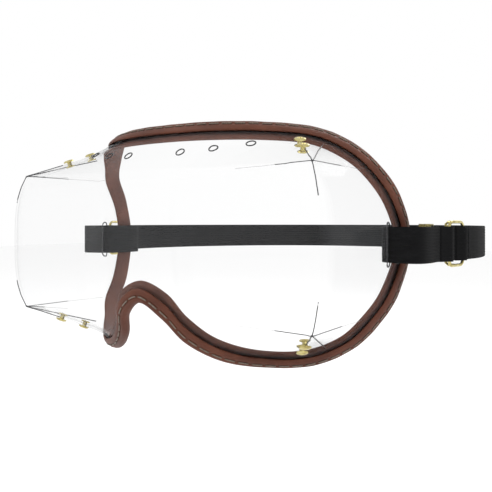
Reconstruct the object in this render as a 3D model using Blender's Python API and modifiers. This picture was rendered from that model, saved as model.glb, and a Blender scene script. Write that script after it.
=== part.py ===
"""Clear folded-sheet goggles with a leather-bound rim and an elastic head strap.

Frame: metres, +Z up, -Y the way the wearer looks, +X the wearer's left, and the
origin midway between the two strap slots, which is where the head strap pivots.
"""

import math

import bmesh
import bpy
from mathutils import Matrix, Vector

MM = 0.001

# ---------------------------------------------------------------- driving sizes (mm)
SHEET_THICK = 1.0
CREASE_TOP = 32.6
CREASE_BOTTOM = -31.9
CORNER_X = 79.6            # half the width of the front wall at its creases
CORNER_Y = -61.7           # front wall at its creases
WALL_SWELL_X = 7.4         # how far a side wall swells out at mid height
WALL_SWELL_Y = 5.3         # how far the front wall swells forward at mid height
FRONT_BOW = 3.0            # extra bow of the front wall at its middle
SWELL_POWER = 3.2
CORNER_RADIUS_MIN = 0.8
CORNER_RADIUS_SWELL = 8.0
CREASE_SOFTEN = 0.42       # how much a flange crease rounds off at the middle

# Half of the rim, from the forehead's middle round the temple to the nose's middle:
# the leather's outer edge, and the edge of its inner lip on the clear sheet.
RIM_EDGE = [
    (0.0, -43.0, 54.0), (22.0, -41.0, 53.8), (41.0, -31.5, 53.2), (57.0, -15.5, 51.8),
    (69.5, -5.0, 46.2), (79.6, 3.8, 36.2), (85.4, 16.0, 22.5), (88.0, 23.3, 1.0),
    (85.0, 16.3, -22.0), (80.6, 5.0, -34.8), (72.5, -6.5, -45.6), (60.5, -20.5, -51.9),
    (45.0, -35.0, -52.1), (29.5, -46.0, -49.6), (17.0, -56.0, -41.8), (10.0, -63.5, -31.3),
    (0.0, -66.2, -24.6),
]
RIM_LIP = [
    (0.0, -50.8, 46.9), (24.0, -49.6, 46.6), (45.5, -41.5, 46.2), (61.0, -27.5, 45.0),
    (70.8, -16.8, 39.9), (78.4, -8.2, 32.0), (84.2, 5.0, 17.5), (86.9, 10.8, -1.0),
    (83.4, 3.0, -20.5), (78.0, -9.3, -33.2), (70.5, -17.5, -41.6), (59.0, -30.0, -46.1),
    (43.5, -43.5, -45.0), (30.0, -53.0, -39.8), (20.5, -60.4, -30.8), (13.6, -65.4, -20.8),
    (0.0, -67.0, -15.2),
]
# Where the sheet's fold lines meet the rim, as positions along those two lists.
RIM_PLEAT_TOP = (2.75, 3.35)
RIM_CREASE_TOP = 4.87
RIM_CREASE_BOTTOM = 8.9
RIM_PLEAT_BOTTOM = (11.05, 10.4)
RIM_CREASE_NOSE = 13.9

NOSE_COLUMNS = 6
FRONT_COLUMNS = 12
ARC_COLUMNS = 4
SIDE_COLUMNS = 6
WALL_ROWS = 12
FLANGE_ROWS = 3

# Leather binding: distance in from the edge, and height off the sheet's middle.
LIP_SPAN = 11.0
BINDING_SECTION = [
    (7.2, 0.85), (7.2, 1.7), (6.2, 2.25), (2.1, 2.35), (0.3, 1.5), (-0.1, 0.0),
    (0.3, -1.5), (2.0, -2.2), (9.8, -2.0), (11.0, -1.5), (11.0, -0.85),
    (4.9, -0.85), (4.4, -1.3), (1.9, -1.25), (1.0, -0.7), (0.8, 0.1),
    (1.1, 0.9), (1.9, 1.45), (4.4, 1.45), (4.9, 0.85),
]
SHEET_EDGE_IN = 4.0
CORE_CENTRE = (2.55, 0.1)
CORE_HALF = (1.1, 0.8)

VENT_RADIUS = 1.9
VENTS = [(14.9, -57.2, 39.5), (30.0, -54.0, 40.7), (44.9, -47.7, 42.2)]
SLOT_HALF_HEIGHT = 10.0
SLOT_WIDTH = 3.4
RIVET_STEPS_TOP = (0.84, 0.55)
RIVET_STEPS_BOTTOM = (0.76, 0.455)
RIVET_HOLE = 1.45
RIVET_STANDOFF = 0.55
RIVET_PROFILE = [
    (0.0, 0.45), (0.8, 0.45), (1.15, 0.95), (1.9, 1.0), (2.6, 0.55), (2.7, 0.0),
    (1.1, 0.0), (1.1, -2.1), (0.0, -2.1),
]
WASHER_PROFILE = [(1.45, 0.0), (2.1, 0.0), (2.4, -0.3), (2.2, -0.6), (1.45, -0.6)]
GAP = 0.3

STRAP_HALF_WIDTH = 8.0
STRAP_THICK = 1.2
RUN_AT = (106.3, 32.0)     # the brass slide's place on the straight run, in plan
RUN_TILT = math.radians(11.5)
RUN_BEFORE = 13.5
RUN_AFTER = 15.0
REAR_Y = 179.0             # the flat stretch behind the head, which a keeper holds
REAR_FLAT_HALF = 12.0
BAR_PITCH = 7.0
BAR_INSET = 3.3
SLIDE_CORNER = 3.0
BAR_RADIUS = 0.75
SLIDE_HALF_HEIGHT = 10.9
CLIP_START = 92.6
CLIP_LENGTH = 5.8
CLIP_LOW = 24.6
CLIP_HIGH = 28.1
END_THICK = 1.0
CLIP_HALF_HEIGHT = 9.2


# ---------------------------------------------------------------- small helpers
def clear_scene():
    for old in list(bpy.data.objects):
        bpy.data.objects.remove(old, do_unlink=True)


def new_collection(name):
    found = bpy.data.collections.new(name)
    bpy.context.scene.collection.children.link(found)
    return found


def make_material(name, colour, roughness, metallic=0.0, alpha=1.0):
    material = bpy.data.materials.new(name)
    material.use_nodes = True
    shader = material.node_tree.nodes["Principled BSDF"]
    shader.inputs["Base Color"].default_value = (*colour, 1.0)
    shader.inputs["Roughness"].default_value = roughness
    shader.inputs["Metallic"].default_value = metallic
    shader.inputs["Alpha"].default_value = alpha
    return material


def lerp(a, b, share):
    return a + (b - a) * share


def spline(points, position):
    """Point at a position along a list, on a Catmull-Rom curve mirrored in X at its ends."""
    last = len(points) - 1
    cell = min(int(position), last - 1)
    share = position - cell

    def at(index):
        if index < 0:
            x, y, z = points[-index]
            return Vector((-x, y, z))
        if index > last:
            x, y, z = points[2 * last - index]
            return Vector((-x, y, z))
        return Vector(points[index])

    p0, p1, p2, p3 = (at(cell + step) for step in (-1, 0, 1, 2))
    return 0.5 * (
        2.0 * p1
        + (p2 - p0) * share
        + (2.0 * p0 - 5.0 * p1 + 4.0 * p2 - p3) * share ** 2
        + (3.0 * p1 - p0 - 3.0 * p2 + p3) * share ** 3
    )


def object_from_bmesh(name, bm, collection, material):
    mesh = bpy.data.meshes.new(name)
    bm.to_mesh(mesh)
    bm.free()
    made = bpy.data.objects.new(name, mesh)
    collection.objects.link(made)
    if material is not None:
        mesh.materials.append(material)
    return made


def smooth(target, degrees=40.0):
    target.data.shade_smooth()
    target.data.set_sharp_from_angle(angle=math.radians(degrees))


def cut(target, cutter):
    step = target.modifiers.new("cut_" + cutter.name, "BOOLEAN")
    step.operation = "DIFFERENCE"
    step.object = cutter


def as_cutter(thing):
    thing.hide_render = True
    thing.display_type = "WIRE"
    return thing


# ---------------------------------------------------------------- the clear sheet
def swell(z):
    """1 at mid height of the walls, 0 at the creases above and below."""
    middle = 0.5 * (CREASE_TOP + CREASE_BOTTOM)
    half = 0.5 * (CREASE_TOP - CREASE_BOTTOM)
    return max(0.0, 1.0 - abs((z - middle) / half) ** SWELL_POWER)


def corner_radius(z):
    return CORNER_RADIUS_MIN + CORNER_RADIUS_SWELL * swell(z)


def side_x(z):
    return CORNER_X + WALL_SWELL_X * swell(z)


def front_y(x, z):
    """The front wall, bowed forward a little at its middle."""
    share = min(1.0, abs(x) / (side_x(z) - corner_radius(z)))
    return CORNER_Y - WALL_SWELL_Y * swell(z) - FRONT_BOW * (1.0 - share ** 2)


def top_stations():
    """Rim positions that the sheet's columns reach along the brow."""
    first, second = RIM_PLEAT_TOP
    front = [first * step / FRONT_COLUMNS for step in range(FRONT_COLUMNS)]
    arc = [lerp(first, second, step / ARC_COLUMNS) for step in range(ARC_COLUMNS)]
    side = [lerp(second, RIM_CREASE_TOP, step / SIDE_COLUMNS) for step in range(SIDE_COLUMNS + 1)]
    return front + arc + side


def bottom_stations():
    """Rim positions that the same columns reach under the eyes and round the nose."""
    first, second = RIM_PLEAT_BOTTOM
    last = len(RIM_EDGE) - 1
    nose = [lerp(last, RIM_CREASE_NOSE, step / NOSE_COLUMNS) for step in range(NOSE_COLUMNS)]
    cheek_columns = FRONT_COLUMNS - NOSE_COLUMNS
    cheek = [lerp(RIM_CREASE_NOSE, first, step / cheek_columns) for step in range(cheek_columns)]
    arc = [lerp(first, second, step / ARC_COLUMNS) for step in range(ARC_COLUMNS)]
    side = [lerp(second, RIM_CREASE_BOTTOM, step / SIDE_COLUMNS) for step in range(SIDE_COLUMNS + 1)]
    return nose + cheek + arc + side


def side_stations():
    """Rim positions that the side wall's rows reach at the temple."""
    return [lerp(RIM_CREASE_TOP, RIM_CREASE_BOTTOM, row / WALL_ROWS) for row in range(WALL_ROWS + 1)]


def rim_stations():
    """Every station of the half rim once, from the forehead to the nose."""
    return top_stations() + side_stations()[1:] + bottom_stations()[-2::-1]


def front_share(column):
    """How far across the half front a column stands, even over the nose and cheek."""
    nose_reach = 0.27
    if column <= NOSE_COLUMNS:
        return nose_reach * column / NOSE_COLUMNS
    return lerp(nose_reach, 1.0, (column - NOSE_COLUMNS) / (FRONT_COLUMNS - NOSE_COLUMNS))


def wall_point(column, row):
    """A point of the wall band, which runs from the front's middle round to the temple."""
    share = row / WALL_ROWS
    z = lerp(CREASE_TOP, CREASE_BOTTOM, share)
    bottoms = bottom_stations()
    if column < NOSE_COLUMNS:
        low = spline(RIM_LIP, bottoms[column])
        across = front_share(column) * (side_x(CREASE_TOP) - corner_radius(CREASE_TOP))
        x = lerp(across, low.x, share)
        z = lerp(CREASE_TOP, low.z, share)
        shift = low.y - front_y(low.x, low.z)
        return Vector((x, front_y(x, z) + shift * share ** 2, z))
    radius = corner_radius(z)
    if column <= FRONT_COLUMNS:
        x = front_share(column) * (side_x(z) - radius)
        point = Vector((x, front_y(x, z), z))
        if column == NOSE_COLUMNS:
            low = spline(RIM_LIP, RIM_CREASE_NOSE)
            return point + (low - Vector((x, front_y(x, CREASE_BOTTOM), CREASE_BOTTOM))) * share ** 3
        return point
    centre = Vector((side_x(z) - radius, CORNER_Y - WALL_SWELL_Y * swell(z) + radius, z))
    if column <= FRONT_COLUMNS + ARC_COLUMNS:
        turn = 0.5 * math.pi * (column - FRONT_COLUMNS) / ARC_COLUMNS
        return centre + radius * Vector((math.sin(turn), -math.cos(turn), 0.0))
    start = centre + Vector((radius, 0.0, 0.0))
    end = spline(RIM_LIP, side_stations()[row])
    return lerp(start, end, (column - FRONT_COLUMNS - ARC_COLUMNS) / SIDE_COLUMNS)


def rim_point(station, inward):
    """A point of the flat strip under the leather, so far in from the rim's edge."""
    return lerp(spline(RIM_EDGE, station), spline(RIM_LIP, station), inward / LIP_SPAN)


def flange_column(station, crease):
    """From the sheet's hidden edge, under the leather, to its crease."""
    lip = spline(RIM_LIP, station)
    hidden = rim_point(station, SHEET_EDGE_IN)
    return [hidden] + [lerp(lip, crease, step / FLANGE_ROWS) for step in range(FLANGE_ROWS)]


def sheet_columns():
    """All the sheet's columns, each from its top edge to its bottom edge."""
    tops = top_stations()
    bottoms = bottom_stations()
    columns = []
    for column, (top, bottom) in enumerate(zip(tops, bottoms)):
        wall = [wall_point(column, row) for row in range(WALL_ROWS + 1)]
        upper = flange_column(top, wall[0])
        if column < NOSE_COLUMNS:
            lower = [rim_point(bottom, SHEET_EDGE_IN)]
        else:
            lower = flange_column(bottom, wall[-1])[::-1]
        soft = CREASE_SOFTEN * max(0.0, 1.0 - front_share(min(column, FRONT_COLUMNS)) ** 3)
        wall[0] = lerp(wall[0], 0.5 * (upper[-1] + wall[1]), soft)
        if NOSE_COLUMNS < column:
            wall[-1] = lerp(wall[-1], 0.5 * (lower[0] + wall[-2]), soft)
        columns.append(upper + wall + lower)
    return columns


def add_strip(bm, left, right):
    """Quads between two runs of vertices, or triangles where one run has stopped."""
    for step in range(min(len(left), len(right)) - 1):
        corners = [left[step], right[step], right[step + 1], left[step + 1]]
        unique = []
        for corner in corners:
            if corner not in unique:
                unique.append(corner)
        if len(unique) > 2:
            bm.faces.new(unique)


def make_sheet(parts, cutters, material):
    bm = bmesh.new()
    known = {}

    def vertex(point):
        key = tuple(round(value, 4) for value in point)
        if key not in known:
            known[key] = bm.verts.new(point * MM)
        return known[key]

    columns = [[vertex(point) for point in column] for column in sheet_columns()]
    for index, (left, right) in enumerate(zip(columns, columns[1:])):
        if index == NOSE_COLUMNS - 1:
            joined = right[:len(left) - 1] + [right[-1]]
            add_strip(bm, left, joined)
            continue
        add_strip(bm, left, right)
    # Behind the last column the side wall runs on under the leather to its hidden edge.
    temple = [vertex(rim_point(station, SHEET_EDGE_IN)) for station in side_stations()]
    first = 1 + FLANGE_ROWS
    add_strip(bm, columns[-1][first:first + WALL_ROWS + 1], temple)
    for vert in bm.verts:
        if abs(vert.co.x) < 0.0002:
            vert.co.x = 0.0
    bmesh.ops.recalc_face_normals(bm, faces=bm.faces)
    if sum(face.normal.y for face in bm.faces) > 0.0:
        bmesh.ops.reverse_faces(bm, faces=bm.faces)
    sheet = object_from_bmesh("lens_sheet", bm, parts, material)
    mirror = sheet.modifiers.new("mirror", "MIRROR")
    mirror.merge_threshold = 0.00002
    shell = sheet.modifiers.new("thickness", "SOLIDIFY")
    shell.thickness = SHEET_THICK * MM
    shell.offset = 0.0
    for cutter in sheet_cutters(cutters):
        cut(sheet, cutter)
    smooth(sheet, 25.0)
    return sheet


def rivet_places():
    """Each rivet's name, middle of the sheet there, and outward normal, for +X corners."""
    places = {}
    tops = top_stations()
    bottoms = bottom_stations()
    for level, stations, shares in (
        ("upper", tops, RIVET_STEPS_TOP),
        ("lower", bottoms, RIVET_STEPS_BOTTOM),
    ):
        row = 0 if level == "upper" else WALL_ROWS
        here = FRONT_COLUMNS
        crease = wall_point(here, row)
        lip = spline(RIM_LIP, stations[here])
        before, after = (
            lerp(spline(RIM_LIP, stations[step]), wall_point(step, row), 0.4)
            for step in (here - 1, here + 1)
        )
        normal = (lip - crease).cross(after - before)
        normal.normalize()
        if normal.y > 0.0:
            normal.negate()
        places[level] = [(lerp(crease, lip, share), normal) for share in shares]
    return places


def make_slot_outline(name, half_height, width, collection):
    """A tall slot with round ends, as a prism along X."""
    bm = bmesh.new()
    radius = 0.5 * width
    ring = []
    for end in (1.0, -1.0):
        for step in range(7):
            turn = math.pi * step / 6.0
            y = radius * math.cos(turn) * end
            z = (half_height - radius) * end + radius * math.sin(turn) * end
            ring.append(bm.verts.new((-0.008, y * MM, z * MM)))
    face = bm.faces.new(ring)
    moved = bmesh.ops.extrude_face_region(bm, geom=[face])
    lifted = [item for item in moved["geom"] if isinstance(item, bmesh.types.BMVert)]
    bmesh.ops.translate(bm, verts=lifted, vec=(0.016, 0.0, 0.0))
    bmesh.ops.recalc_face_normals(bm, faces=bm.faces)
    return as_cutter(object_from_bmesh(name, bm, collection, None))


def make_round_cutter(name, radius, centre, axis, collection, sides=16):
    bm = bmesh.new()
    bmesh.ops.create_cone(
        bm, cap_ends=True, segments=sides, radius1=radius * MM, radius2=radius * MM, depth=0.008
    )
    made = as_cutter(object_from_bmesh(name, bm, collection, None))
    turn = Vector((0.0, 0.0, 1.0)).rotation_difference(axis).to_matrix().to_4x4()
    made.matrix_world = Matrix.Translation(centre * MM) @ turn
    return made


def sheet_cutters(collection):
    made = []
    for side, label in ((1.0, "left"), (-1.0, "right")):
        slot = make_slot_outline("cut_slot_" + label, SLOT_HALF_HEIGHT, SLOT_WIDTH, collection)
        slot.location = (side * side_x(0.0) * MM, 0.0, 0.0)
        made.append(slot)
        for index, (x, y, z) in enumerate(VENTS):
            name = f"cut_vent_{label}_{index}"
            axis = Vector((0.0, -0.72, 0.69))
            made.append(make_round_cutter(name, VENT_RADIUS, Vector((side * x, y, z)), axis, collection))
        for level, spots in rivet_places().items():
            for index, (point, normal) in enumerate(spots):
                spot = Vector((side * point.x, point.y, point.z))
                axis = Vector((side * normal.x, normal.y, normal.z))
                name = f"cut_rivet_{level}_{label}_{index}"
                made.append(make_round_cutter(name, RIVET_HOLE, spot, axis, collection, 12))
    return made


# ---------------------------------------------------------------- the leather rim
def rim_frames():
    """Edge point, inward step and outward normal at each station of the whole rim."""
    half = rim_stations()
    edges = [spline(RIM_EDGE, station) for station in half]
    lips = [spline(RIM_LIP, station) for station in half]
    flip = Vector((-1.0, 1.0, 1.0))
    edges = edges + [point * flip for point in edges[-2:0:-1]]
    lips = lips + [point * flip for point in lips[-2:0:-1]]
    total = len(edges)
    frames = []
    for index, (edge, lip) in enumerate(zip(edges, lips)):
        along = edges[(index + 1) % total] - edges[index - 1]
        inward = (lip - edge) / LIP_SPAN
        normal = inward.cross(along).normalized()
        frames.append((edge, inward, normal))
    middle = frames[0]
    if middle[2].y > 0.0:
        frames = [(edge, inward, -normal) for edge, inward, normal in frames]
    return frames


def sweep_rim(name, section, collection, material):
    """A closed section carried once round the rim."""
    bm = bmesh.new()
    rings = []
    for edge, inward, normal in rim_frames():
        ring = [bm.verts.new((edge + inward * a + normal * b) * MM) for a, b in section]
        rings.append(ring)
    for ring, following in zip(rings, rings[1:] + rings[:1]):
        for step in range(len(section)):
            after = (step + 1) % len(section)
            bm.faces.new((ring[step], ring[after], following[after], following[step]))
    bmesh.ops.recalc_face_normals(bm, faces=bm.faces)
    made = object_from_bmesh(name, bm, collection, material)
    smooth(made, 50.0)
    return made


def make_core(collection, material):
    section = []
    for step in range(6):
        turn = 2.0 * math.pi * step / 6.0
        a = CORE_CENTRE[0] + CORE_HALF[0] * math.cos(turn)
        b = CORE_CENTRE[1] + CORE_HALF[1] * math.sin(turn)
        section.append((a, b))
    return sweep_rim("rim_padding_core", section, collection, material)


# ---------------------------------------------------------------- rivets and washers
def turned(name, profile, closed, place, collection, material):
    """A profile in X and Z turned about Z, then set at its place."""
    bm = bmesh.new()
    verts = [bm.verts.new((r * MM, 0.0, z * MM)) for r, z in profile]
    for a, b in zip(verts, verts[1:]):
        bm.edges.new((a, b))
    if closed:
        bm.edges.new((verts[-1], verts[0]))
    made = object_from_bmesh(name, bm, collection, material)
    screw = made.modifiers.new("turn", "SCREW")
    screw.steps = 12
    screw.render_steps = 12
    screw.use_merge_vertices = True
    screw.merge_threshold = 0.00001
    smooth(made, 35.0)
    made.matrix_world = place
    return made


def make_rivets(collection, brass):
    for level, spots in rivet_places().items():
        for side, label in ((1.0, "left"), (-1.0, "right")):
            for index, (point, normal) in enumerate(spots):
                spot = Vector((side * point.x, point.y, point.z))
                axis = Vector((side * normal.x, normal.y, normal.z))
                turn = Vector((0.0, 0.0, 1.0)).rotation_difference(axis).to_matrix().to_4x4()
                head = Matrix.Translation((spot + axis * (0.5 * SHEET_THICK + RIVET_STANDOFF)) * MM) @ turn
                ring = Matrix.Translation((spot - axis * (0.5 * SHEET_THICK + RIVET_STANDOFF)) * MM) @ turn
                place = ("rim", "fold")[index]
                name = f"{level}_{label}_{place}"
                turned(name + "_rivet", RIVET_PROFILE, False, head, collection, brass)
                turned(name + "_washer", WASHER_PROFILE, True, ring, collection, brass)


# ---------------------------------------------------------------- strap, slides, clips
def smooth_path(points, per_span):
    """A Catmull-Rom curve through plan points, with its end tangents kept straight."""
    out = []
    last = len(points) - 1
    for cell in range(last):
        p0 = Vector(points[max(cell - 1, 0)])
        p1 = Vector(points[cell])
        p2 = Vector(points[cell + 1])
        p3 = Vector(points[min(cell + 2, last)])
        for step in range(per_span):
            share = step / per_span
            out.append(0.5 * (
                2.0 * p1
                + (p2 - p0) * share
                + (2.0 * p0 - 5.0 * p1 + 4.0 * p2 - p3) * share ** 2
                + (3.0 * p1 - p0 - 3.0 * p2 + p3) * share ** 3
            ))
    out.append(Vector(points[-1]))
    return out


def make_band(name, path, half_height, thickness, side, collection, material):
    """A flat band standing on edge along a plan path."""
    bm = bmesh.new()
    low = [bm.verts.new((side * p.x * MM, p.y * MM, -half_height * MM)) for p in path]
    high = [bm.verts.new((side * p.x * MM, p.y * MM, half_height * MM)) for p in path]
    for step in range(len(path) - 1):
        bm.faces.new((low[step], low[step + 1], high[step + 1], high[step]))
    made = object_from_bmesh(name, bm, collection, material)
    shell = made.modifiers.new("thickness", "SOLIDIFY")
    shell.thickness = thickness * MM
    shell.offset = 0.0
    shell.use_even_offset = True
    smooth(made, 40.0)
    return made


def run_point(out, along, height=0.0, side=1.0):
    """A place by the straight run: out from the strap's middle, and along it from the slide."""
    x = RUN_AT[0] + along * math.sin(RUN_TILT) + out * math.cos(RUN_TILT)
    y = RUN_AT[1] + along * math.cos(RUN_TILT) - out * math.sin(RUN_TILT)
    return Vector((side * x, y, height))


def run_path():
    """From behind the rim, round its inside, out through the slot and back outside it."""
    bend = smooth_path([
        (91.0, 27.2), (87.2, 27.2), (83.8, 25.0), (82.3, 19.5), (82.0, 12.0),
        (82.5, 5.0), (84.2, 1.3), (87.4, 0.0), (92.0, -2.0), (97.4, -3.0), (101.5, -0.8),
        (103.0, 4.5), (103.3, 11.0), run_point(0.0, -RUN_BEFORE).xy,
    ], 3)
    return bend + [run_point(0.0, 0.0).xy, run_point(0.0, RUN_AFTER - GAP).xy]


def rear_path():
    """The loop behind the head, from one side's straight run to the other's."""
    half = smooth_path([
        run_point(0.0, RUN_AFTER).xy, (110.9, 60.0), (110.4, 75.0), (107.3, 92.0),
        (99.0, 115.5), (80.5, 144.0), (57.0, 164.0), (32.0, 175.5), (REAR_FLAT_HALF, REAR_Y),
    ], 3)
    return half + [Vector((-p.x, p.y)) for p in half[::-1]]


def end_loop_path():
    """The strap's own end: it goes round the slide's middle bar and comes back into the clip."""
    bar = run_point(-BAR_INSET, 0.0)
    reach = BAR_RADIUS + 0.35 + 0.5 * END_THICK
    inner = [Vector((CLIP_START, 25.6)), Vector((99.6, 25.7)), Vector((101.9, 27.7))]
    loop = []
    for step in range(9):
        turn = math.radians(-65.0 + 215.0 * step / 8.0)
        loop.append(Vector((bar.x + reach * math.cos(turn), bar.y + reach * math.sin(turn))))
    outer = [Vector((100.4, 30.4)), Vector((99.9, 28.4)), Vector((99.0, 27.1)), Vector((CLIP_START, 27.1))]
    return inner + loop + outer


def planar_tube(name, points, flat, radius, closed, collection):
    """A round wire along points that lie in one plane, whose normal is flat."""
    bm = bmesh.new()
    rings = []
    last = len(points) - 1
    for index, point in enumerate(points):
        before = points[index - 1] if index or closed else point
        after = points[(index + 1) % len(points)] if index < last or closed else point
        across = (after - before).normalized().cross(flat)
        ring = []
        for step in range(8):
            turn = 2.0 * math.pi * step / 8.0
            offset = radius * (math.cos(turn) * flat + math.sin(turn) * across)
            ring.append(bm.verts.new((point + offset) * MM))
        rings.append(ring)
    following = rings[1:] + rings[:1] if closed else rings[1:]
    for ring, beyond in zip(rings, following):
        for step in range(8):
            after = (step + 1) % 8
            bm.faces.new((ring[step], ring[after], beyond[after], beyond[step]))
    if not closed:
        bm.faces.new(rings[0])
        bm.faces.new(rings[-1])
    bmesh.ops.recalc_face_normals(bm, faces=bm.faces)
    return object_from_bmesh(name, bm, collection, None)


def united(name, solids, collection, material):
    """One closed mesh from overlapping solids."""
    base = solids[0]
    base.data.materials.append(material)
    for solid in solids[1:]:
        join = base.modifiers.new("join", "BOOLEAN")
        join.operation = "UNION"
        join.object = solid
    bpy.context.view_layer.update()
    graph = bpy.context.evaluated_depsgraph_get()
    mesh = bpy.data.meshes.new_from_object(base.evaluated_get(graph))
    for solid in solids:
        bpy.data.objects.remove(solid, do_unlink=True)
    made = bpy.data.objects.new(name, mesh)
    collection.objects.link(made)
    smooth(made, 35.0)
    return made


def make_slide(name, side, collection, material):
    """Wire slide: a round-cornered frame outside the strap, its middle bar cranked inside it."""
    outer = 0.5 * STRAP_THICK + GAP + BAR_RADIUS + 0.1
    top = SLIDE_HALF_HEIGHT - BAR_RADIUS
    frame = []
    for quarter, (way_y, way_z) in enumerate(((1, 1), (-1, 1), (-1, -1), (1, -1))):
        for step in range(5):
            turn = 0.5 * math.pi * (quarter + step / 4.0)
            along = way_y * (BAR_PITCH - SLIDE_CORNER) + SLIDE_CORNER * math.cos(turn)
            height = way_z * (top - SLIDE_CORNER) + SLIDE_CORNER * math.sin(turn)
            frame.append(run_point(outer, along, height, side))
    crank = []
    for end in (1.0, -1.0):
        run = [(outer, top), (1.2 - BAR_INSET, top - 0.1), (-BAR_INSET, top - 0.9)]
        crank.append([run_point(out, 0.0, end * height, side) for out, height in run])
    bar = crank[0] + crank[1][::-1]
    middle = run_point(0.0, 0.0, 0.0, side)
    across = run_point(1.0, 0.0, 0.0, side) - middle
    lengthways = run_point(0.0, 1.0, 0.0, side) - middle
    solids = [
        planar_tube(name + "_frame", frame, across, BAR_RADIUS, True, collection),
        planar_tube(name + "_bar", bar, lengthways, BAR_RADIUS - 0.06, False, collection),
    ]
    return united(name, solids, collection, material)


def make_clip(name, side, collection, material):
    """Brass band folded round both thicknesses of the strap's end."""
    solids = []
    low = CLIP_LOW
    high = CLIP_HIGH
    middle = CLIP_START + 0.5 * CLIP_LENGTH
    for index, (y, height, depth, tall) in enumerate((
        (low - 0.25, 0.0, 0.5, 2.0 * CLIP_HALF_HEIGHT),
        (high + 0.25, 0.0, 0.5, 2.0 * CLIP_HALF_HEIGHT),
        (0.5 * (low + high), CLIP_HALF_HEIGHT - 0.25, high - low + 0.6, 0.5),
        (0.5 * (low + high), 0.25 - CLIP_HALF_HEIGHT, high - low + 0.6, 0.5),
    )):
        bm = bmesh.new()
        bmesh.ops.create_cube(bm, size=1.0)
        inset = 0.02 * index * MM
        bmesh.ops.scale(bm, verts=bm.verts, vec=(CLIP_LENGTH * MM - inset, depth * MM, tall * MM))
        bmesh.ops.translate(bm, verts=bm.verts, vec=(side * middle * MM, y * MM, height * MM))
        solids.append(object_from_bmesh(f"{name}_wall{index}", bm, collection, None))
    return united(name, solids, collection, material)


def main():
    clear_scene()
    parts = new_collection("folded_sheet_goggles")
    cutters = new_collection("cutters")
    clear = make_material("clear_sheet", (0.93, 0.94, 0.95), 0.04, 0.0, 0.3)
    leather = make_material("brown_leather", (0.15, 0.06, 0.04), 0.55)
    padding = make_material("padding", (0.25, 0.22, 0.2), 0.9)
    brass = make_material("brass", (0.62, 0.55, 0.25), 0.28, 1.0)
    elastic = make_material("black_elastic", (0.012, 0.012, 0.013), 0.85)
    make_sheet(parts, cutters, clear)
    sweep_rim("rim_binding", BINDING_SECTION, parts, leather)
    make_core(parts, padding)
    make_rivets(parts, brass)
    make_band("rear_strap", rear_path(), STRAP_HALF_WIDTH, STRAP_THICK, 1.0, parts, elastic)
    for side, label in ((1.0, "left"), (-1.0, "right")):
        make_band(f"{label}_strap_run", run_path(), STRAP_HALF_WIDTH, STRAP_THICK, side, parts, elastic)
        make_band(f"{label}_strap_end", end_loop_path(), STRAP_HALF_WIDTH, END_THICK, side, parts, elastic)
        make_slide(f"{label}_slide", side, parts, brass)
        make_clip(f"{label}_end_clip", side, parts, brass)


main()
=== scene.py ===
"""Looks for the clear folded-sheet goggles: materials, stitching, folds, ribbed strap."""

import math

import bmesh
import bpy
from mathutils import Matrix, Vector


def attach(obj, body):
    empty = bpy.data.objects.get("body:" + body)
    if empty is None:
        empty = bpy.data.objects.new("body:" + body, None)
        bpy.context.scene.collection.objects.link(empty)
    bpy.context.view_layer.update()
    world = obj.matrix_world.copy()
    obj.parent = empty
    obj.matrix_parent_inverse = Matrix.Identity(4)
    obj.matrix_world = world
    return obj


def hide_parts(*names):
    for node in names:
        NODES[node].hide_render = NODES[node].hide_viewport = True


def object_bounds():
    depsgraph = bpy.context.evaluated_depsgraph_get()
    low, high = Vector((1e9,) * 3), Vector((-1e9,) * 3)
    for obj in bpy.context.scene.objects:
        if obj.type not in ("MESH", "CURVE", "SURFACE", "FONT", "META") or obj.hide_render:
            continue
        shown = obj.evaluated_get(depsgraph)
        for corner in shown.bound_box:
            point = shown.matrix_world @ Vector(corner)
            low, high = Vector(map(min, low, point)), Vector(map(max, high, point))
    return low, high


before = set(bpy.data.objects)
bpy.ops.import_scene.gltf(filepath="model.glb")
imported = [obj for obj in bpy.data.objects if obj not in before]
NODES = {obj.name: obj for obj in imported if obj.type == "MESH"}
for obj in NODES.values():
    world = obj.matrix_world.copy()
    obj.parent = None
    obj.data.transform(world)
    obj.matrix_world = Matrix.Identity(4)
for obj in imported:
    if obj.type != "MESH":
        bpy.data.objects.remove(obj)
CAD_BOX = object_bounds()

MM = 0.001

# Camera, in the row frame (m), and the lamps: place, disk size (m) and power (W).
CAMERA_PLACE = Vector((0.1879, -0.2781, 0.01015))
CAMERA_AZIMUTH = math.radians(32.37)
CAMERA_LENS = 47.56
CAMERA_SENSOR = 36.0
CAMERA_SHIFT_Y = -0.049
LIGHTS = [
    ("key", (-0.5, -0.7, 0.9), 0.7, 5.0),
    ("fill", (0.9, -0.4, 0.5), 0.8, 3.0),
    ("back", (0.1, 0.9, 0.7), 0.6, 3.0),
]
FLOOR_DROP = 0.12          # metres below the goggles, which hang free

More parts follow.
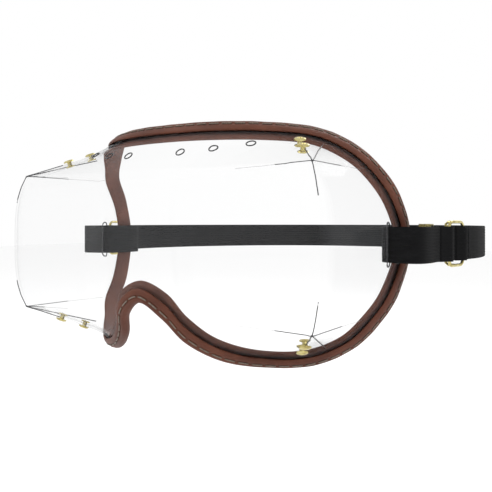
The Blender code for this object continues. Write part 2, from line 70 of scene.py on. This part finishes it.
# Half of the rim, as the CAD has it: the leather's outer edge, and its inner lip (mm).
RIM_EDGE = [
    (0.0, -43.0, 54.0), (22.0, -41.0, 53.8), (41.0, -31.5, 53.2), (57.0, -15.5, 51.8),
    (69.5, -5.0, 46.2), (79.6, 3.8, 36.2), (85.4, 16.0, 22.5), (88.0, 23.3, 1.0),
    (85.0, 16.3, -22.0), (80.6, 5.0, -34.8), (72.5, -6.5, -45.6), (60.5, -20.5, -51.9),
    (45.0, -35.0, -52.1), (29.5, -46.0, -49.6), (17.0, -56.0, -41.8), (10.0, -63.5, -31.3),
    (0.0, -66.2, -24.6),
]
RIM_LIP = [
    (0.0, -50.8, 46.9), (24.0, -49.6, 46.6), (45.5, -41.5, 46.2), (61.0, -27.5, 45.0),
    (70.8, -16.8, 39.9), (78.4, -8.2, 32.0), (84.2, 5.0, 17.5), (86.9, 10.8, -1.0),
    (83.4, 3.0, -20.5), (78.0, -9.3, -33.2), (70.5, -17.5, -41.6), (59.0, -30.0, -46.1),
    (43.5, -43.5, -45.0), (30.0, -53.0, -39.8), (20.5, -60.4, -30.8), (13.6, -65.4, -20.8),
    (0.0, -67.0, -15.2),
]
LIP_SPAN = 11.0
RIM_STEPS = 110
STITCH_PITCH = 5.9
STITCH_LENGTH = 4.4
STITCH_RADIUS = 0.34
STITCH_IN = 3.6
STITCH_HEIGHT = 2.38
PUCKER = 0.025             # swell of the padded lip between stitches, as a share

# The sheet's folds, vents and strap slots (mm).
FOLD_CORNER = (79.6, -61.6)
FOLD_HEIGHTS = ((32.6, 1.0), (-31.9, -1.0))
SCORE_RADIUS = 0.27
DOWN_RADIUS = 0.22
CREASE_RADIUS = 0.18
FAINT_RADIUS = 0.1
VENTS = [(14.9, -57.2, 39.5), (30.0, -54.0, 40.7), (44.9, -47.7, 42.2)]
VENT_RADIUS = 1.95
VENT_AXIS = Vector((0.0, -0.72, 0.69))
VENT_EDGE = 0.3
SLOT_X = 88.5
SLOT_HALF_HEIGHT = 8.3
SLOT_END_RADIUS = 1.75
SLOT_EDGE = 0.34

# The elastic strap and the brass it runs through (mm).
RIBS = 11
RIB_DEPTH = 0.16
SELVEDGE_FROM = 0.93
SELVEDGE_DROP = 1.12
BAND_ROWS = 66
KNIT_STEP = 1.3
STRAP_HALF = 8.0
STRAP_THICK = 1.2
END_THICK = 1.0
GAP = 0.3
CLIP_START = 92.6
BAR_RADIUS = 0.75
BAR_INSET = 3.3
BAR_PITCH = 7.0
LAP_THICK = 0.9
LAP_CLEAR = 0.25
LAP_LIFT = 0.4
FRONT_LAP_START = -6.4
REAR_LAP_START = -5.2
RUN_AT = (106.3, 32.0)     # the brass slide's place on the straight run, in plan
RUN_TILT = math.radians(11.5)
RUN_BEFORE = 13.5
RUN_AFTER = 15.0
REAR_Y = 179.0             # the flat stretch behind the head, which a keeper holds
REAR_FLAT_HALF = 12.0


# ---------------------------------------------------------------- material helpers
class Nodes:
    """Short names for adding and wiring shader nodes in one material."""

    def __init__(self, name):
        self.material = bpy.data.materials.new(name)
        self.material.use_nodes = True
        self.tree = self.material.node_tree
        self.shader = self.tree.nodes["Principled BSDF"]
        self.place = self.add("ShaderNodeTexCoord")

    def add(self, kind, **values):
        node = self.tree.nodes.new(kind)
        for key, value in values.items():
            setattr(node, key, value)
        return node

    def link(self, source, target):
        self.tree.links.new(source, target)

    def noise(self, scale, detail=4.0, roughness=0.6, stretch=None):
        node = self.add("ShaderNodeTexNoise")
        node.inputs["Scale"].default_value = scale
        node.inputs["Detail"].default_value = detail
        node.inputs["Roughness"].default_value = roughness
        source = self.place.outputs["Object"]
        if stretch:
            mapping = self.add("ShaderNodeMapping")
            mapping.inputs["Scale"].default_value = stretch
            self.link(source, mapping.inputs["Vector"])
            source = mapping.outputs["Vector"]
        self.link(source, node.inputs["Vector"])
        return node

    def ramp(self, source, stops):
        node = self.add("ShaderNodeValToRGB")
        elements = node.color_ramp.elements
        while len(elements) < len(stops):
            elements.new(0.5)
        for element, (position, colour) in zip(elements, stops):
            element.position = position
            element.color = (*colour, 1.0)
        self.link(source, node.inputs["Fac"])
        return node

    def spread(self, source, low, high, target):
        node = self.add("ShaderNodeMapRange")
        node.inputs["To Min"].default_value = low
        node.inputs["To Max"].default_value = high
        self.link(source, node.inputs["Value"])
        self.link(node.outputs["Result"], target)

    def bump(self, source, strength, distance, below=None):
        node = self.add("ShaderNodeBump")
        node.inputs["Strength"].default_value = strength
        node.inputs["Distance"].default_value = distance
        self.link(source, node.inputs["Height"])
        if below is not None:
            self.link(below.outputs["Normal"], node.inputs["Normal"])
        self.link(node.outputs["Normal"], self.shader.inputs["Normal"])
        return node

    def set(self, **values):
        for key, value in values.items():
            self.shader.inputs[key.replace("_", " ")].default_value = value


def leather_material():
    made = Nodes("oiled_brown_leather")
    blotch = made.noise(55.0, 5.0)
    grain = made.add("ShaderNodeTexVoronoi")
    grain.inputs["Scale"].default_value = 1300.0
    made.link(made.place.outputs["Object"], grain.inputs["Vector"])
    fine = made.noise(2600.0, 3.0)
    tone = made.ramp(blotch.outputs["Fac"], [
        (0.25, (0.050, 0.013, 0.006)), (0.55, (0.092, 0.027, 0.013)), (0.85, (0.140, 0.048, 0.027)),
    ])
    made.link(tone.outputs["Color"], made.shader.inputs["Base Color"])
    made.spread(fine.outputs["Fac"], 0.42, 0.66, made.shader.inputs["Roughness"])
    pores = made.bump(grain.outputs["Distance"], 0.35, 0.0003)
    made.bump(fine.outputs["Fac"], 0.2, 0.0002, pores)
    made.set(Specular_IOR_Level=0.22)
    return made.material


def sheet_material():
    """Clear cast sheet: light passes straight through, with painted grey reflection at glancing angles
    that deepens to painted dark shade at its outlines.
    """
    made = Nodes("clear_cast_sheet")
    scuffs = made.noise(420.0, 6.0, 0.7, (1.0, 0.2, 1.0))
    made.spread(scuffs.outputs["Fac"], 0.02, 0.07, made.shader.inputs["Roughness"])
    glancing = made.add("ShaderNodeLayerWeight")
    glancing.inputs["Blend"].default_value = 0.5
    # Painted reflection and painted shade: the colour greys, then darkens to near black, as the face turns
    # away from the view.
    tone = made.ramp(glancing.outputs["Facing"], [
        (0.0, (0.7, 0.71, 0.72)), (0.5, (0.4, 0.412, 0.42)), (0.85, (0.07, 0.074, 0.08)),
    ])
    made.link(tone.outputs["Color"], made.shader.inputs["Base Color"])
    clear = made.ramp(glancing.outputs["Facing"], [
        (0.0, (0.012,) * 3), (0.45, (0.035,) * 3), (0.8, (0.07,) * 3), (0.94, (0.45,) * 3),
    ])
    made.link(clear.outputs["Color"], made.shader.inputs["Alpha"])
    made.set(IOR=1.46, Specular_IOR_Level=0.3)
    return made.material


def painted_shade_line_material(name, colour, alpha):
    """A fold or a cut edge of the clear sheet, drawn as a thin dark line of painted shade."""
    made = Nodes(name)
    streak = made.noise(900.0, 4.0)
    tone = made.ramp(streak.outputs["Fac"], [
        (0.3, tuple(0.8 * c for c in colour)), (0.7, tuple(min(1.0, 1.15 * c) for c in colour)),
    ])
    made.link(tone.outputs["Color"], made.shader.inputs["Base Color"])
    made.set(Roughness=0.3, Alpha=alpha)
    return made.material


def brass_material():
    made = Nodes("worn_yellow_brass")
    tarnish = made.noise(260.0, 6.0)
    scratch = made.noise(1400.0, 3.0, 0.6, (1.0, 6.0, 1.0))
    tone = made.ramp(tarnish.outputs["Fac"], [
        (0.25, (0.20, 0.15, 0.05)), (0.5, (0.47, 0.40, 0.16)), (0.8, (0.70, 0.63, 0.33)),
    ])
    made.link(tone.outputs["Color"], made.shader.inputs["Base Color"])
    made.spread(scratch.outputs["Fac"], 0.16, 0.36, made.shader.inputs["Roughness"])
    made.bump(scratch.outputs["Fac"], 0.15, 0.0001)
    made.set(Metallic=1.0)
    return made.material


def elastic_material():
    """Black knitted elastic; the ribs are in the mesh, the small knit and fuzz are here."""
    made = Nodes("black_knit_elastic")
    knit = made.add("ShaderNodeTexWave", wave_type="BANDS", bands_direction="Z", wave_profile="SIN")
    knit.inputs["Scale"].default_value = 460.0
    knit.inputs["Distortion"].default_value = 1.5
    made.link(made.place.outputs["Object"], knit.inputs["Vector"])
    fuzz = made.noise(1900.0, 5.0, 0.7, (1.0, 1.0, 3.0))
    tone = made.ramp(fuzz.outputs["Fac"], [
        (0.3, (0.003, 0.003, 0.0032)), (0.6, (0.0065, 0.0065, 0.007)), (0.85, (0.014, 0.014, 0.015)),
    ])
    made.link(tone.outputs["Color"], made.shader.inputs["Base Color"])
    small = made.bump(knit.outputs["Fac"], 0.5, 0.0002)
    made.bump(fuzz.outputs["Fac"], 0.5, 0.0002, small)
    made.set(Roughness=0.85, Specular_IOR_Level=0.08, Sheen_Weight=0.03, Sheen_Roughness=0.4)
    return made.material


def thread_material():
    made = Nodes("waxed_thread")
    twist = made.noise(2400.0, 3.0, 0.5, (1.0, 1.0, 0.4))
    tone = made.ramp(twist.outputs["Fac"], [
        (0.3, (0.07, 0.05, 0.035)), (0.6, (0.16, 0.12, 0.09)), (0.85, (0.29, 0.24, 0.19)),
    ])
    made.link(tone.outputs["Color"], made.shader.inputs["Base Color"])
    made.bump(twist.outputs["Fac"], 0.5, 0.0002)
    made.set(Roughness=0.6)
    return made.material


def felt_material():
    made = Nodes("felt_core")
    fibre = made.noise(1500.0, 5.0)
    tone = made.ramp(fibre.outputs["Fac"], [(0.3, (0.14, 0.12, 0.11)), (0.8, (0.3, 0.27, 0.25))])
    made.link(tone.outputs["Color"], made.shader.inputs["Base Color"])
    made.bump(fibre.outputs["Fac"], 0.6, 0.0004)
    made.set(Roughness=0.95)
    return made.material


def dress(node, material):
    for place in NODES[node].material_slots:
        place.material = material


# ---------------------------------------------------------------- stage, light, camera
def make_camera():
    data = bpy.data.cameras.new("camera")
    data.lens = CAMERA_LENS
    data.sensor_width = CAMERA_SENSOR
    data.shift_y = CAMERA_SHIFT_Y
    data.clip_start = 0.01
    camera = bpy.data.objects.new("camera", data)
    bpy.context.scene.collection.objects.link(camera)
    camera.location = CAMERA_PLACE
    camera.rotation_euler = (math.radians(90.0), 0.0, CAMERA_AZIMUTH)
    bpy.context.scene.camera = camera


def make_light(name, place, size, power):
    """A disk lamp that points at the origin."""
    data = bpy.data.lights.new(name, "AREA")
    data.shape = "DISK"
    data.size = size
    data.energy = power
    lamp = bpy.data.objects.new(name, data)
    bpy.context.scene.collection.objects.link(lamp)
    lamp.location = place
    lamp.rotation_euler = (-Vector(place)).to_track_quat("-Z", "Y").to_euler()


def make_stage():
    world = bpy.data.worlds.new("studio")
    bpy.context.scene.world = world
    world.use_nodes = True
    ground = world.node_tree.nodes["Background"]
    ground.inputs["Color"].default_value = (1.0, 1.0, 1.0, 1.0)
    ground.inputs["Strength"].default_value = 1.0
    bpy.context.scene.view_settings.view_transform = "Standard"
    bm = bmesh.new()
    bmesh.ops.create_grid(bm, x_segments=1, y_segments=1, size=4.0)
    mesh = bpy.data.meshes.new("floor")
    bm.to_mesh(mesh)
    bm.free()
    floor = bpy.data.objects.new("floor", mesh)
    bpy.context.scene.collection.objects.link(floor)
    floor.location = (0.0, 0.0, CAD_BOX[0][2] - FLOOR_DROP)
    pale = Nodes("pale_floor")
    pale.set(Base_Color=(0.96, 0.96, 0.96, 1.0), Roughness=0.9)
    mesh.materials.append(pale.material)
    for light in LIGHTS:
        make_light(*light)


# ---------------------------------------------------------------- shared mesh tools
def add_mesh(name, bm, material, body):
    mesh = bpy.data.meshes.new(name)
    bmesh.ops.recalc_face_normals(bm, faces=bm.faces)
    bm.to_mesh(mesh)
    bm.free()
    made = bpy.data.objects.new(name, mesh)
    bpy.context.scene.collection.objects.link(made)
    mesh.materials.append(material)
    mesh.shade_smooth()
    if body:
        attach(made, body)
    return made


def spline(points, position):
    """Point at a position along a list, on a Catmull-Rom curve mirrored in X at its ends."""
    last = len(points) - 1
    cell = min(int(position), last - 1)
    share = position - cell

    def at(index):
        if index < 0:
            x, y, z = points[-index]
            return Vector((-x, y, z))
        if index > last:
            x, y, z = points[2 * last - index]
            return Vector((-x, y, z))
        return Vector(points[index])

    p0, p1, p2, p3 = (at(cell + step) for step in (-1, 0, 1, 2))
    return 0.5 * (
        2.0 * p1
        + (p2 - p0) * share
        + (2.0 * p0 - 5.0 * p1 + 4.0 * p2 - p3) * share ** 2
        + (3.0 * p1 - p0 - 3.0 * p2 + p3) * share ** 3
    )


def rim_frames():
    """Edge point, inward step and outward normal, evenly spaced in parameter round the rim."""
    last = len(RIM_EDGE) - 1
    edges = [spline(RIM_EDGE, last * step / RIM_STEPS) for step in range(RIM_STEPS + 1)]
    lips = [spline(RIM_LIP, last * step / RIM_STEPS) for step in range(RIM_STEPS + 1)]
    flip = Vector((-1.0, 1.0, 1.0))
    edges = edges + [point * flip for point in edges[-2:0:-1]]
    lips = lips + [point * flip for point in lips[-2:0:-1]]
    total = len(edges)
    frames = []
    for index, (edge, lip) in enumerate(zip(edges, lips)):
        along = edges[(index + 1) % total] - edges[index - 1]
        inward = (lip - edge) / LIP_SPAN
        frames.append((edge, inward, inward.cross(along).normalized()))
    if frames[0][2].y > 0.0:
        frames = [(edge, inward, -normal) for edge, inward, normal in frames]
    return frames


def nearest_on(node, place):
    """The nearest point of a CAD node's surface."""
    return NODES[node].closest_point_on_mesh(place)[1]


def tube_into(bm, points, radius, sides=6, closed=False):
    """A round wire along points, added to a mesh."""
    last = len(points) - 1
    up = Vector((0.0, 0.0, 1.0))
    rings = []
    for index, point in enumerate(points):
        before = points[index - 1] if index or closed else point
        after = points[(index + 1) % len(points)] if index < last or closed else point
        along = (after - before).normalized()
        first = along.cross(up)
        if first.length < 0.2:
            first = along.cross(Vector((1.0, 0.0, 0.0)))
        first.normalize()
        second = along.cross(first)
        ring = []
        for step in range(sides):
            turn = 2.0 * math.pi * step / sides
            ring.append(bm.verts.new(point + radius * (math.cos(turn) * first + math.sin(turn) * second)))
        rings.append(ring)
    following = rings[1:] + rings[:1] if closed else rings[1:]
    for ring, beyond in zip(rings, following):
        for step in range(sides):
            after = (step + 1) % sides
            bm.faces.new((ring[step], ring[after], beyond[after], beyond[step]))
    if not closed:
        bm.faces.new(rings[0][::-1])
        bm.faces.new(rings[-1])


# ---------------------------------------------------------------- the sheet's folds and cut edges, drawn as lines of painted shade
def outward(place):
    """Roughly away from the wearer's eye, which stands inside the mask."""
    return (place - Vector((place.x * 0.4, 0.0, 0.0))).normalized()


def on_sheet(start, end, steps=8):
    """A run of points laid on the sheet's outer face, from start to end (mm)."""
    laid = []
    for step in range(steps + 1):
        place = start.lerp(end, step / steps) * MM
        laid.append(nearest_on("lens_sheet", place + outward(place) * 4.0 * MM))
    return laid


def make_folds():
    """Dark hair lines of painted shade where the sheet was scored and folded, fading out along its long
    creases.
    """
    # Painted shade: near-black lines on the folds and faint grey ones along the creases, where the clear
    # sheet looks dark from the light bending through it.
    scored_shade = painted_shade_line_material("scored_fold_painted_shade", (0.02, 0.02, 0.024), 0.95)
    soft_shade = painted_shade_line_material("soft_fold_painted_shade", (0.2, 0.2, 0.21), 0.32)
    lines = bmesh.new()
    faint = bmesh.new()
    for side in (1.0, -1.0):
        for z, way in FOLD_HEIGHTS:
            corner = Vector((side * FOLD_CORNER[0], FOLD_CORNER[1], z))
            pleats = (
                Vector((side * 68.2, -45.4, z + way * 7.6)),
                Vector((side * 66.5, -24.5, z + way * 11.0)),
            )
            for end in pleats:
                tube_into(lines, on_sheet(corner, end), SCORE_RADIUS * MM)
            back = Vector((side * 78.6, -9.0, z + way * 0.4))
            across = Vector((side * 46.0, -64.9, z - way * 0.6))
            for end, length in ((back, 0.55), (across, 0.5)):
                fade = corner.lerp(end, length)
                tube_into(lines, on_sheet(corner, fade), CREASE_RADIUS * MM)
                tube_into(faint, on_sheet(fade, end), FAINT_RADIUS * MM)
            down = Vector((side * 83.6, -64.9, z - way * 13.0))
            tube_into(lines, on_sheet(corner, down), DOWN_RADIUS * MM)
    add_mesh("scored_fold_shade_lines", lines, scored_shade, "mask")
    add_mesh("soft_fold_shade_lines", faint, soft_shade, "mask")


def vent_edge(side, place):
    """The round edge of one vent, laid on the sheet."""
    middle = Vector((side * place[0], place[1], place[2]))
    first = Vector((1.0, 0.0, 0.0))
    second = VENT_AXIS.cross(first)
    loop = []
    for step in range(20):
        turn = 2.0 * math.pi * step / 20.0
        reach = VENT_RADIUS * (math.cos(turn) * first + math.sin(turn) * second)
        point = nearest_on("lens_sheet", (middle + reach) * MM + VENT_AXIS * 2.0 * MM)
        loop.append(point + VENT_AXIS * 0.05 * MM)
    return loop


def slot_edge(side):
    """The long edge of one strap slot, with round ends, laid on the side wall."""
    slot = []
    for end in (1.0, -1.0):
        for step in range(7):
            turn = math.pi * step / 6.0
            y = SLOT_END_RADIUS * math.cos(turn) * end
            z = (SLOT_HALF_HEIGHT + SLOT_END_RADIUS * math.sin(turn)) * end
            slot.append(nearest_on("lens_sheet", Vector((side * SLOT_X, y, z)) * MM))
    return slot


def make_cut_edges():
    """The polished edges of the vents and strap slots, drawn as near-black lines of painted shade against
    the clear sheet.
    """
    # Painted shade: the near-black colour stands in for the dark look that the light gives the clear
    # sheet's cut edges.
    edge = painted_shade_line_material("cut_edge_painted_shade", (0.012, 0.012, 0.014), 0.95)
    bm = bmesh.new()
    for side in (1.0, -1.0):
        for place in VENTS:
            tube_into(bm, vent_edge(side, place), VENT_EDGE * MM, closed=True)
        tube_into(bm, slot_edge(side), SLOT_EDGE * MM, closed=True)
    add_mesh("cut_edge_shade_lines", bm, edge, "mask")


# ---------------------------------------------------------------- ribbed elastic
def smooth_path(points, per_span):
    """A Catmull-Rom curve through plan points, with its end tangents kept straight."""
    out = []
    last = len(points) - 1
    for cell in range(last):
        p0 = Vector(points[max(cell - 1, 0)])
        p1 = Vector(points[cell])
        p2 = Vector(points[cell + 1])
        p3 = Vector(points[min(cell + 2, last)])
        for step in range(per_span):
            share = step / per_span
            out.append(0.5 * (
                2.0 * p1
                + (p2 - p0) * share
                + (2.0 * p0 - 5.0 * p1 + 4.0 * p2 - p3) * share ** 2
                + (3.0 * p1 - p0 - 3.0 * p2 + p3) * share ** 3
            ))
    out.append(Vector(points[-1]))
    return out


def run_point(out, along, height=0.0, side=1.0):
    """A place by the straight run: out from the strap's middle, and along it from the slide."""
    x = RUN_AT[0] + along * math.sin(RUN_TILT) + out * math.cos(RUN_TILT)
    y = RUN_AT[1] + along * math.cos(RUN_TILT) - out * math.sin(RUN_TILT)
    return Vector((side * x, y, height))


def run_path():
    """From behind the rim, round its inside, out through the slot and back outside it."""
    bend = smooth_path([
        (91.0, 27.2), (87.2, 27.2), (83.8, 25.0), (82.3, 19.5), (82.0, 12.0),
        (82.5, 5.0), (84.2, 1.3), (87.4, 0.0), (92.0, -2.0), (97.4, -3.0), (101.5, -0.8),
        (103.0, 4.5), (103.3, 11.0), run_point(0.0, -RUN_BEFORE).xy,
    ], 3)
    return bend + [run_point(0.0, 0.0).xy, run_point(0.0, RUN_AFTER - GAP).xy]


def rear_path():
    """The loop behind the head, from one side's straight run to the other's."""
    half = smooth_path([
        run_point(0.0, RUN_AFTER).xy, (110.9, 60.0), (110.4, 75.0), (107.3, 92.0),
        (99.0, 115.5), (80.5, 144.0), (57.0, 164.0), (32.0, 175.5), (REAR_FLAT_HALF, REAR_Y),
    ], 3)
    return half + [Vector((-p.x, p.y)) for p in half[::-1]]


def end_loop_path():
    """The strap's own end: it goes round the slide's middle bar and comes back into the clip."""
    bar = run_point(-BAR_INSET, 0.0)
    reach = BAR_RADIUS + 0.35 + 0.5 * END_THICK
    inner = [Vector((CLIP_START, 25.6)), Vector((99.6, 25.7)), Vector((101.9, 27.7))]
    loop = []
    for step in range(9):
        turn = math.radians(-65.0 + 215.0 * step / 8.0)
        loop.append(Vector((bar.x + reach * math.cos(turn), bar.y + reach * math.sin(turn))))
    outer = [Vector((100.4, 30.4)), Vector((99.9, 28.4)), Vector((99.0, 27.1)), Vector((CLIP_START, 27.1))]
    return inner + loop + outer


def resample(path, step):
    """The same path in even steps, so that the knit's ribs stay even."""
    even = [path[0].copy()]
    carried = 0.0
    for start, end in zip(path, path[1:]):
        length = (end - start).length
        place = step - carried
        while place < length:
            even.append(start.lerp(end, place / length))
            place += step
        carried = length - (place - step)
    even.append(path[-1].copy())
    return even


def rib(height, half, depth):
    """Height of the knit's ribs across the band, with a firm selvedge at both edges."""
    share = height / half
    if abs(share) > SELVEDGE_FROM:
        return -SELVEDGE_DROP * depth * (abs(share) - SELVEDGE_FROM) / (1.0 - SELVEDGE_FROM)
    return depth * (abs(math.sin(0.5 * math.pi * RIBS * (share + 1.0))) - 0.6)


def ribbed_band(name, path, half, thick, side, body, replaced=(), depth=RIB_DEPTH):
    """A knitted band on edge along a plan path, ribbed lengthwise on both faces."""
    path = resample([Vector(point) for point in path], KNIT_STEP)
    rows = [half * (2.0 * row / BAND_ROWS - 1.0) for row in range(BAND_ROWS + 1)]
    bm = bmesh.new()
    rings = []
    last = len(path) - 1
    for index, point in enumerate(path):
        along = (path[min(index + 1, last)] - path[max(index - 1, 0)]).normalized()
        out = Vector((along.y, -along.x))
        ring = []
        for face, heights in ((1.0, rows), (-1.0, rows[::-1])):
            for height in heights:
                reach = face * (0.5 * thick + rib(height, half, depth))
                place = point + out * reach
                ring.append(bm.verts.new((side * place.x * MM, place.y * MM, height * MM)))
        rings.append(ring)
    count = len(rings[0])
    for ring, beyond in zip(rings, rings[1:]):
        for step in range(count):
            after = (step + 1) % count
            bm.faces.new((ring[step], ring[after], beyond[after], beyond[step]))
    bm.faces.new(rings[0][::-1])
    bm.faces.new(rings[-1])
    made = add_mesh(name, bm, ELASTIC, body)
    if replaced:
        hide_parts(*replaced)
    return made


def turn_path(bar_along):
    """The strap where it laps over one of the slide's outer bars and tucks in behind it."""
    rise = 0.5 * STRAP_THICK + GAP + 2.0 * BAR_RADIUS + 0.75
    reach = BAR_RADIUS + LAP_CLEAR + 0.5 * STRAP_THICK
    start = FRONT_LAP_START if bar_along < 0.0 else REAR_LAP_START
    points = [run_point(LAP_LIFT, bar_along + start), run_point(0.5 * rise, bar_along + 0.5 * start)]
    centre = 0.5 * STRAP_THICK + GAP + BAR_RADIUS + 0.1
    for step in range(7):
        turn = math.radians(95.0 - 120.0 * step / 6.0)
        points.append(run_point(centre + reach * math.sin(turn), bar_along + reach * math.cos(turn)))
    return smooth_path([point.xy for point in points], 2)


def make_straps():
    strap = "head_strap"
    ribbed_band("knit_rear_strap", rear_path(), STRAP_HALF, STRAP_THICK, 1.0, strap, ["rear_strap"])
    for side, label in ((1.0, "left"), (-1.0, "right")):
        run = f"{label}_strap_run"
        end = f"{label}_strap_end"
        adjuster = f"{label}_adjuster"
        ribbed_band(f"{label}_knit_run", run_path(), STRAP_HALF, STRAP_THICK, side, strap, [run])
        ribbed_band(
            f"{label}_knit_end", end_loop_path(), STRAP_HALF, END_THICK, side, adjuster, [end],
            0.5 * RIB_DEPTH,
        )
        for place, along in (("front", -BAR_PITCH), ("rear", BAR_PITCH)):
            lap = f"{label}_{place}_lap"
            ribbed_band(lap, turn_path(along), STRAP_HALF + 0.1, LAP_THICK, side, adjuster)


# ---------------------------------------------------------------- the leather binding
def binding_section():
    """Outer lip padded over its cord, a pressed groove, and the thin lip inside the sheet."""
    outer = [
        (7.3, 0.85), (7.45, 1.3), (7.2, 1.75), (6.5, 2.15), (5.6, 2.4), (4.9, 2.45), (4.2, 2.2),
        (3.7, 2.0), (3.2, 2.1), (2.4, 2.3), (1.5, 2.15), (0.6, 1.6), (0.1, 0.9), (-0.05, 0.0),
    ]
    inner = [
        (0.1, -0.8), (0.5, -1.4), (1.1, -1.85), (2.2, -2.1), (3.8, -2.15), (5.6, -2.15),
        (7.6, -2.1), (9.4, -1.95), (10.5, -1.7), (11.0, -1.3), (10.95, -0.9), (10.6, -0.85),
        (4.9, -0.85), (4.4, -1.25), (1.9, -1.2), (1.0, -0.7), (0.8, 0.1), (1.1, 0.9),
        (1.9, 1.35), (4.4, 1.35), (4.9, 0.85),
    ]
    return outer + inner


def make_binding():
    section = binding_section()
    frames = rim_frames()
    bm = bmesh.new()
    rings = []
    for index, (edge, inward, normal) in enumerate(frames):
        pucker = PUCKER * math.cos(0.5 * math.pi * index)
        ring = []
        for a, b in section:
            swell = 1.0 + (pucker if b > 1.9 else 0.0)
            ring.append(bm.verts.new((edge + inward * a + normal * b * swell) * MM))
        rings.append(ring)
    for ring, following in zip(rings, rings[1:] + rings[:1]):
        for step in range(len(section)):
            after = (step + 1) % len(section)
            bm.faces.new((ring[step], ring[after], following[after], following[step]))
    made = add_mesh("leather_binding", bm, LEATHER, "mask")
    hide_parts("rim_binding")


# ---------------------------------------------------------------- stitches round the rim
def walk(line, distance):
    """A point at a distance along a closed line."""
    total = sum((b - a).length for a, b in zip(line, line[1:] + line[:1]))
    distance = distance % total
    for start, end in zip(line, line[1:] + line[:1]):
        length = (end - start).length
        if distance <= length:
            return start.lerp(end, distance / length)
        distance -= length
    return line[0]


def make_stitches():
    thread = thread_material()
    line = [(e + i * STITCH_IN + n * STITCH_HEIGHT) * MM for e, i, n in rim_frames()]
    total = sum((b - a).length for a, b in zip(line, line[1:] + line[:1]))
    count = round(total / (STITCH_PITCH * MM))
    bm = bmesh.new()
    for index in range(count):
        middle = total * index / count
        half = 0.5 * STITCH_LENGTH * MM
        points = [walk(line, middle + half * (0.5 * step - 1.0)) for step in range(5)]
        tube_into(bm, points, STITCH_RADIUS * MM)
    made = add_mesh("rim_stitches", bm, thread, "mask")


make_camera()
make_stage()
LEATHER = leather_material()
SHEET = sheet_material()
BRASS = brass_material()
ELASTIC = elastic_material()
FELT = felt_material()
for node in NODES:
    if node == "lens_sheet":
        dress(node, SHEET)
    elif node == "rim_binding":
        dress(node, LEATHER)
    elif node == "rim_padding_core":
        dress(node, FELT)
    elif "strap" in node:
        dress(node, ELASTIC)
    else:
        dress(node, BRASS)

make_straps()
make_binding()
make_folds()
make_cut_edges()
make_stitches()
